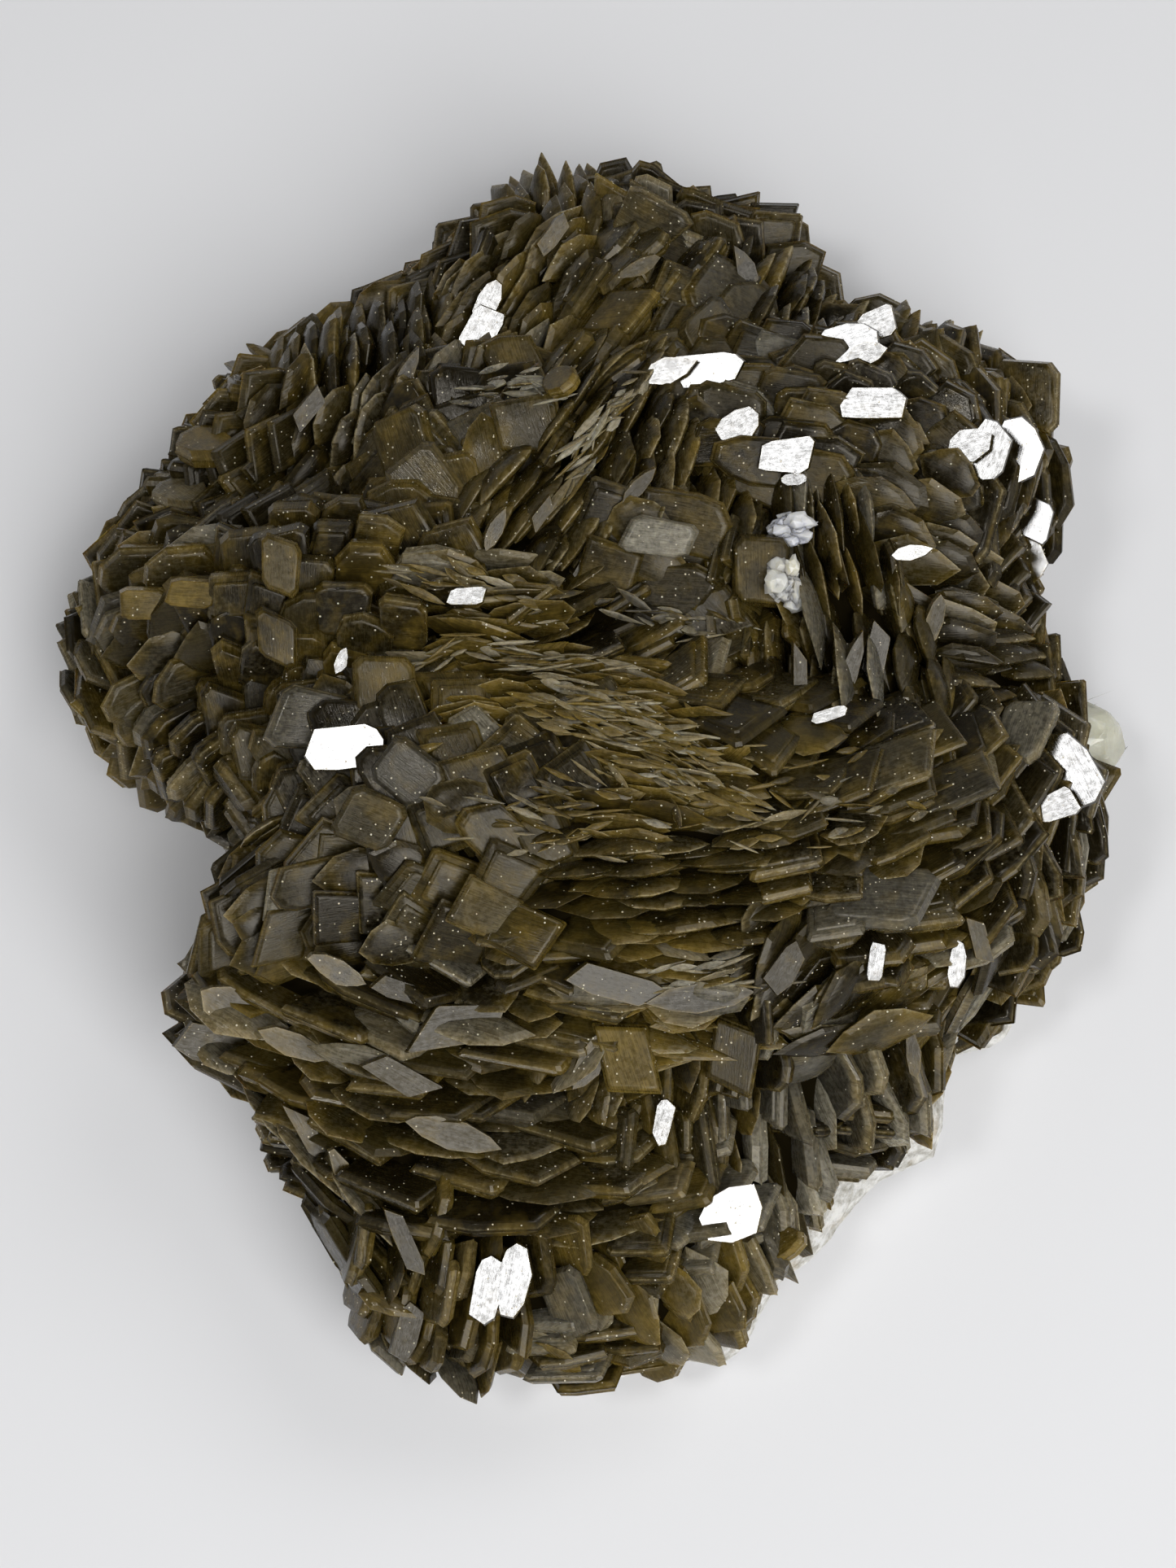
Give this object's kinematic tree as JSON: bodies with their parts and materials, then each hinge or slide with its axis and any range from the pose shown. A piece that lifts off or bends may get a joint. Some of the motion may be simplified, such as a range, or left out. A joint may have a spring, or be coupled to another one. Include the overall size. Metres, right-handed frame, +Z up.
{
  "type": "siderite crystal cluster",
  "caption": "Lobed cluster of bladed olive-brown siderite crystals on a white rock base, with a pale quartz crystal at its side, to stand on a shelf.",
  "frame": {"origin": "on the flat cut underside of the rock, below the middle of the cluster", "axes": "+Z up, +Y along the cluster's length to the back, +X to the right"},
  "size_m": [0.1485, 0.1732, 0.0575],
  "materials": {
    "siderite": "glossy",
    "white_rock": "matte",
    "quartz": "glossy",
    "calcite": "satin"
  },
  "bodies": {
    "root": {"siderite_crystals": "siderite", "matrix": "white_rock", "quartz_crystal": "quartz", "calcite_upper": "calcite", "calcite_lower": "calcite"}
  },
  "joints": []
}
